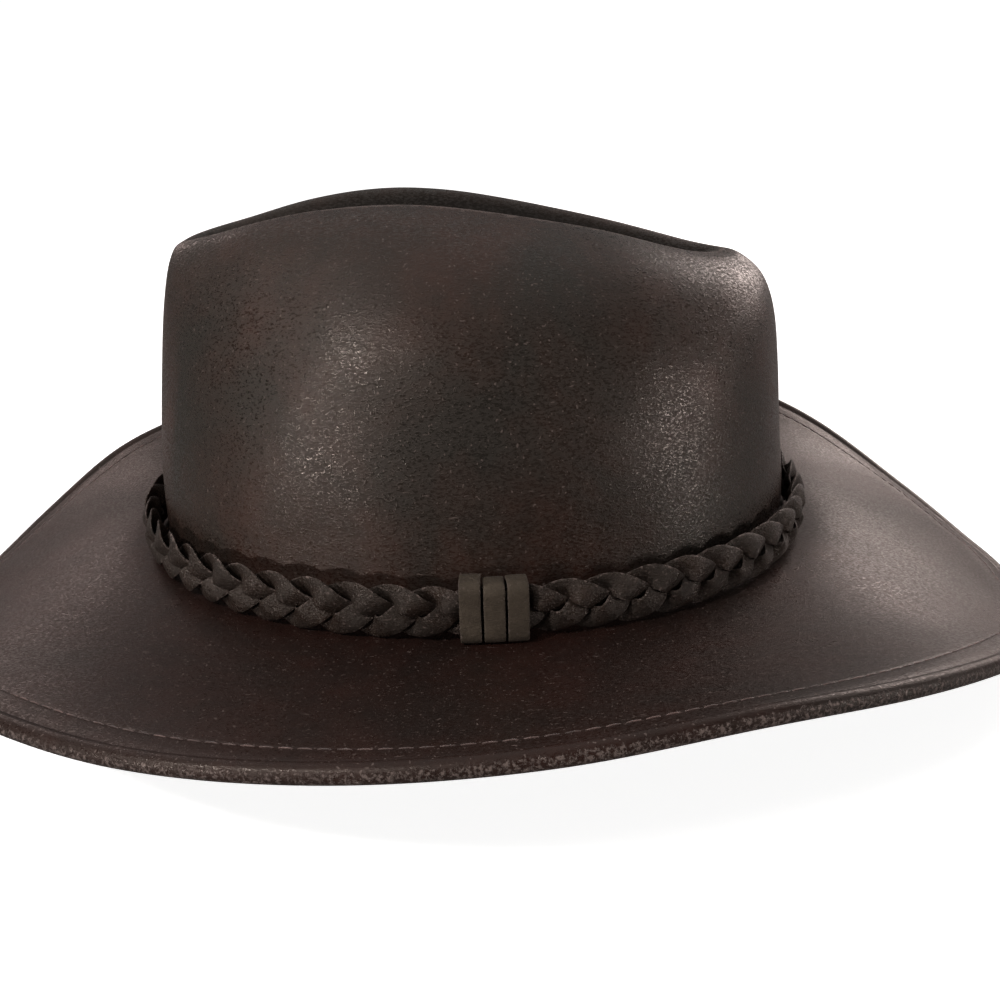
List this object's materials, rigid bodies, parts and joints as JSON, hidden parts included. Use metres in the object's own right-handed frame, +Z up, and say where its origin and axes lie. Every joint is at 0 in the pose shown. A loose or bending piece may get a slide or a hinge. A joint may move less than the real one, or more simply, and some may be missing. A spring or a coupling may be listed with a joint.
{
  "type": "leather bush hat",
  "caption": "Wide-brimmed leather bush hat with a lengthwise crease, a rolled stitched brim edge and a braided band held by a leather keeper.",
  "frame": {"origin": "on the surface the hat rests on, under the middle of the head", "axes": "+Z up, -Y towards the front of the hat, +X towards the wearer's left"},
  "size_m": [0.3398, 0.369, 0.135],
  "materials": {
    "crown_leather": "dark brown oiled leather with a fine nap and soft sheen",
    "brim_leather": "dark red-brown oiled leather, scuffed on the rolled edge",
    "band_leather": "dark brown lace with scuffed lighter edges",
    "keeper_leather": "matt olive-brown leather",
    "thread": "waxed pinkish-tan sewing thread"
  },
  "bodies": {
    "root": {"crown": "crown_leather", "brim": "brim_leather", "band_strand_1": "band_leather", "band_strand_2": "band_leather", "band_strand_3": "band_leather", "keeper_wrap_1": "keeper_leather", "keeper_wrap_2": "keeper_leather", "keeper_wrap_3": "keeper_leather"}
  },
  "joints": []
}
